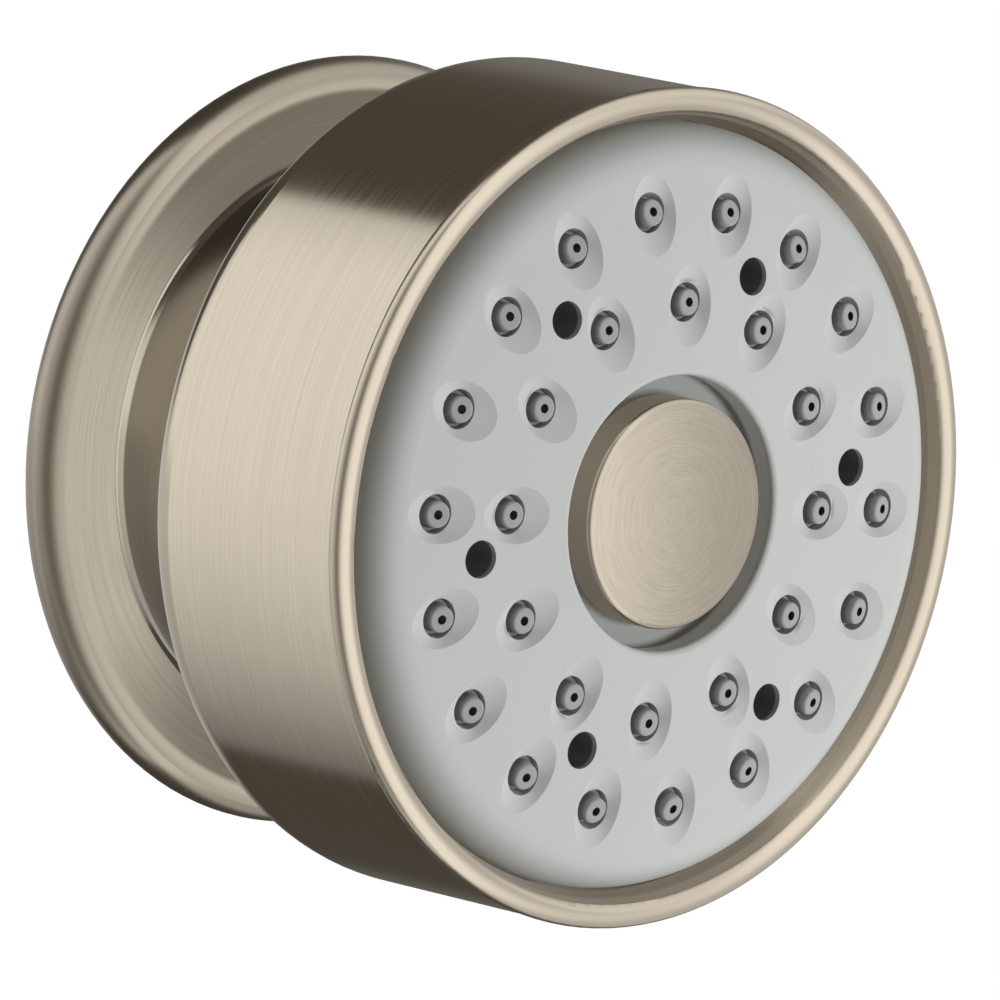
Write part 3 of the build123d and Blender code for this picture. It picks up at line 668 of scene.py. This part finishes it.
def make_threaded_stud():
    """Brass stud with its thread, flange, ball, water bore and key socket."""
    bore, inlet, inlet_floor = 0.003, 0.0075, -0.009
    shoulder, shoulder_back, shoulder_front = 0.0107775, 0.001, 0.0026
    flange, flange_front, flange_chamfer = 0.0135, 0.0044, 0.0002
    throat = 0.0055
    ball_start, ball_sweep, ball_steps = 142.33, 122.86, 18
    key_half_width, key_depth, key_reach = 0.00303, 0.008, 0.021
    ball = []
    for place in range(ball_steps + 1):
        angle = math.radians(ball_start - ball_sweep * place / ball_steps)
        ball.append((ball_radius * math.sin(angle), ball_reach + ball_radius * math.cos(angle)))
    stations = [
        (bore, inlet_floor),
        (inlet, inlet_floor),
        (inlet, 0.0003 - thread_length),
        (inlet + 0.0003, -thread_length),
        (0.0089, -thread_length),
        (thread_root_radius, 0.0004 - thread_length),
        (thread_root_radius, shoulder_back),
        (shoulder, shoulder_back),
        (shoulder, shoulder_front),
        (flange - flange_chamfer, shoulder_front),
        (flange, shoulder_front + flange_chamfer),
        (flange, flange_front - flange_chamfer),
        (flange - flange_chamfer, flange_front),
        (throat, flange_front),
        *ball,
        (bore, inlet_floor),
    ]
    stud = turned("threaded_stud", stations, 96)
    deselect()
    bpy.ops.mesh.primitive_cylinder_add(
        vertices=6, radius=key_half_width / math.cos(math.pi / 6), depth=key_depth,
        location=(0, -key_reach, 0), rotation=(math.pi / 2, 0, 0)
    )
    key_socket = bpy.context.object
    bpy.ops.object.transform_apply(location=True, rotation=True, scale=True)
    cut_with(stud, key_socket)
    ridge = make_thread()
    deselect()
    ridge.select_set(True)
    stud.select_set(True)
    bpy.context.view_layer.objects.active = stud
    bpy.ops.object.join()
    soften(stud, 32)
    dress(stud, "brass")
    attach(stud, "wall_side")
    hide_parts("ball_stud")


def make_screws():
    """Six face screws with a cross recess: one is modelled, and copied into the other wells."""
    floor, shank, head = well_floor_reach, 0.00105, 0.00215
    slot_reach, slot_size = floor + 0.0016, (0.0024, 0.0018, 0.0006)
    count, turn_step = 6, 0.9
    stations = [
        (0.0003, floor - 0.0075),
        (0.0009, floor - 0.0066),
        (shank, floor - 0.0060),
        (shank, floor),
        (head, floor),
        (head, floor + 0.0011),
        (0.0020, floor + 0.00145),
        (0.0016, floor + 0.0017),
    ]
    screw = turned("face_screw_1", stations, 48)
    for turn in (0, math.pi / 2):
        deselect()
        bpy.ops.mesh.primitive_cube_add(size=1, location=(0, -slot_reach, 0), rotation=(0, turn, 0))
        slot_cutter = bpy.context.object
        slot_cutter.scale = slot_size
        bpy.ops.object.transform_apply(location=True, rotation=True, scale=True)
        cut_with(screw, slot_cutter)
    soften(screw, 35)
    dress(screw, "steel")
    screws = [screw]
    for place in range(1, count):
        deselect()
        screw.select_set(True)
        bpy.context.view_layer.objects.active = screw
        bpy.ops.object.duplicate()
        copy = bpy.context.object
        copy.name = "face_screw_%d" % (place + 1)
        screws.append(copy)
    for place, copy in enumerate(screws):
        angle = math.radians(90 + pattern_turn + well_start + 360 / count * place)
        deselect()
        copy.select_set(True)
        bpy.context.view_layer.objects.active = copy
        copy.rotation_euler = (0, place * turn_step, 0)
        copy.location = (well_ring_radius * math.cos(angle), 0, well_ring_radius * math.sin(angle))
        bpy.ops.object.transform_apply(location=True, rotation=True, scale=True)
        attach(copy, "head")
        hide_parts("face_screws")


make_threaded_stud()
make_screws()


# Lights and surroundings
lamp_target = Vector((0, -0.05, 0))
floor_size = 8
floor_height = -0.42
floor_glow = 1.1
floor_glow_share = 0.9


def add_panel(name, azimuth, elevation, distance, width, height, power):
    """Soft rectangular lamp that faces the head."""
    towards = direction(math.radians(azimuth), math.radians(elevation))
    bpy.ops.object.light_add(type="AREA", location=lamp_target + towards * distance)
    lamp = bpy.context.object
    lamp.name = name
    lamp.rotation_mode = "QUATERNION"
    lamp.rotation_quaternion = (-towards).to_track_quat("-Z", "Y")
    lamp.data.shape = "RECTANGLE"
    lamp.data.size = width
    lamp.data.size_y = height
    lamp.data.energy = power
    lamp.visible_camera = False
    return lamp


def add_lamps():
    """Key lamp on the right, in front of the spray face. The metal shows only the studio."""
    key = add_panel(
        "key_lamp", azimuth=23, elevation=-7, distance=0.9, width=0.30, height=0.22, power=6.45
    )
    key.visible_glossy = False
    for node in nodes.values():
        node.visible_glossy = False


# What the metal reflects, by azimuth from the front to the right: light panels and darker gaps
gap_brown = (0.075, 0.067, 0.055)
gap_grey = (0.19, 0.18, 0.165)
wall_level = (0.62, 0.62, 0.62)
left_panels = (
    (-180, gap_brown),
    (-175.5, gap_brown),
    (-172.5, (0.72, 0.72, 0.72)),
    (-157, (0.94, 0.94, 0.94)),
    (-136.5, (0.94, 0.94, 0.94)),
    (-131, (0.62, 0.62, 0.62)),
    (-112, (0.58, 0.58, 0.58)),
    (-97, (0.27, 0.26, 0.24)),
    (-84, gap_grey),
    (-76, gap_grey),
    (-34, (1.08, 1.08, 1.08)),
    (20, (1.15, 1.15, 1.15)),
    (34, (0.95, 0.95, 0.95)),
    (44, (0.78, 0.78, 0.78)),
)
low_panels = left_panels + (
    (54, (0.62, 0.62, 0.62)),
    (75, (0.56, 0.56, 0.56)),
    (110, (0.62, 0.62, 0.62)),
    (131, (0.22, 0.21, 0.195)),
    (142, (0.15, 0.143, 0.13)),
    (150, (0.09, 0.082, 0.07)),
    (156, gap_brown),
)
high_panels = left_panels + (
    (60, (0.9, 0.9, 0.9)),
    (100, (0.75, 0.75, 0.75)),
    (115, (0.22, 0.21, 0.195)),
    (132, (0.10, 0.092, 0.08)),
    (150, gap_brown),
)
# How much of that is left towards the floor, by the height of the direction
studio_floor = (
    (-1.0, 0.15),
    (-0.70, 0.26),
    (-0.63, 0.40),
    (-0.5, 0.62),
    (-0.34, 0.78),
    (-0.17, 0.93),
    (0.0, 1.0),
)
# Where the studio changes, by a direction's height, or by how far it points to the wall
high_panels_from = (0.15, 0.40)
wall_from = (0.74, 0.84)
wall_fades_by_height = (-0.1, 0.1)
floor_counts_from = (0.1, 0.5)
# Even light on the dull pieces, from the left and from below to the right and above
ambient_dim = (0.08, 0.08, 0.08)
ambient_bright = (0.29, 0.29, 0.29)
ambient_height_share = 0.35


def colour_ramp(tree, value, stops):
    """Colour ramp with the given places and colours; gives its colour."""
    step = tree.nodes.new("ShaderNodeValToRGB")
    marks = step.color_ramp.elements
    while len(marks) < len(stops):
        marks.new(0.5)
    for mark, (position, colour) in zip(marks, stops):
        mark.position = position
        mark.color = (*colour, 1)
    tree.links.new(value, step.inputs[0])
    return step.outputs["Color"]


def add_studio():
    """World: white to the camera, soft panels and dark gaps to the metal, and a low even light."""
    world = bpy.data.worlds.new("studio")
    bpy.context.scene.world = world
    world.use_nodes = True
    tree = world.node_tree
    background = tree.nodes["Background"]
    split = tree.nodes.new("ShaderNodeSeparateXYZ")
    tree.links.new(tree.nodes.new("ShaderNodeTexCoord").outputs["Generated"], split.inputs[0])
    x, y, z = split.outputs
    azimuth = maths(tree, "ARCTAN2", x, maths(tree, "MULTIPLY", y, -1.0))
    share = maths(tree, "ADD", maths(tree, "DIVIDE", azimuth, math.tau), 0.5)
    low = colour_ramp(tree, share, [(angle / 360 + 0.5, colour) for angle, colour in low_panels])
    high = colour_ramp(tree, share, [(angle / 360 + 0.5, colour) for angle, colour in high_panels])
    panels = mix_colours(tree, ramp_between(tree, z, *high_panels_from), low, high)
    backwards = ramp_between(tree, y, *wall_from)
    below = ramp_between(tree, z, *wall_fades_by_height, 1.0, 0.0)
    behind = maths(tree, "MULTIPLY", backwards, below)
    panels = mix_colours(tree, behind, panels, wall_level)
    floor_stops = [(height + 1, (level, level, level)) for height, level in studio_floor]
    towards_floor = colour_ramp(tree, maths(tree, "ADD", z, 1.0), floor_stops)
    floor_share = ramp_between(tree, y, *floor_counts_from)
    lowered = mix_colours(tree, floor_share, panels, towards_floor, "MULTIPLY")
    reflected = mix_colours(tree, 1.0, lowered, gap_brown, "LIGHTEN")
    side = maths(tree, "ADD", maths(tree, "MULTIPLY_ADD", z, ambient_height_share, x), 0.5)
    ambient = colour_ramp(tree, side, ((0.0, ambient_dim), (1.0, ambient_bright)))
    rays = tree.nodes.new("ShaderNodeLightPath")
    colour = mix_colours(tree, rays.outputs["Is Glossy Ray"], ambient, reflected)
    plain = maths(tree, "MAXIMUM", rays.outputs["Is Camera Ray"], rays.outputs["Is Transmission Ray"])
    tree.links.new(mix_colours(tree, plain, colour, (1, 1, 1)), background.inputs["Color"])
    background.inputs["Strength"].default_value = 1.0


def add_floor():
    """Plain pale floor, well below the head, white to the camera but for the shadow."""
    deselect()
    bpy.ops.mesh.primitive_plane_add(size=floor_size, location=(0, 0, floor_height))
    floor = bpy.context.object
    floor.name = "floor"
    bpy.ops.object.transform_apply(location=True, rotation=True, scale=True)
    material, tree, shader = new_material("pale_floor", 0.0, 0.9)
    shader["Base Color"].default_value = (0.82, 0.82, 0.82, 1)
    shader["Specular IOR Level"].default_value = 0.0
    glow = tree.nodes.new("ShaderNodeEmission")
    glow.inputs["Strength"].default_value = floor_glow
    clear = tree.nodes.new("ShaderNodeBsdfTransparent")
    rays = tree.nodes.new("ShaderNodeLightPath")
    direct = maths(tree, "MAXIMUM", rays.outputs["Is Camera Ray"], rays.outputs["Is Transmission Ray"])
    seen = maths(tree, "MULTIPLY", direct, floor_glow_share)
    pale = tree.nodes.new("ShaderNodeMixShader")
    feed(tree, pale.inputs[0], seen)
    tree.links.new(tree.nodes["Principled BSDF"].outputs[0], pale.inputs[1])
    tree.links.new(glow.outputs[0], pale.inputs[2])
    mirrored = tree.nodes.new("ShaderNodeMixShader")
    feed(tree, mirrored.inputs[0], rays.outputs["Is Glossy Ray"])
    tree.links.new(pale.outputs[0], mirrored.inputs[1])
    tree.links.new(clear.outputs[0], mirrored.inputs[2])
    tree.links.new(mirrored.outputs[0], tree.nodes["Material Output"].inputs["Surface"])
    floor.data.materials.append(material)


add_camera()
add_lamps()
add_studio()
add_floor()
bpy.context.scene.view_settings.view_transform = "Standard"
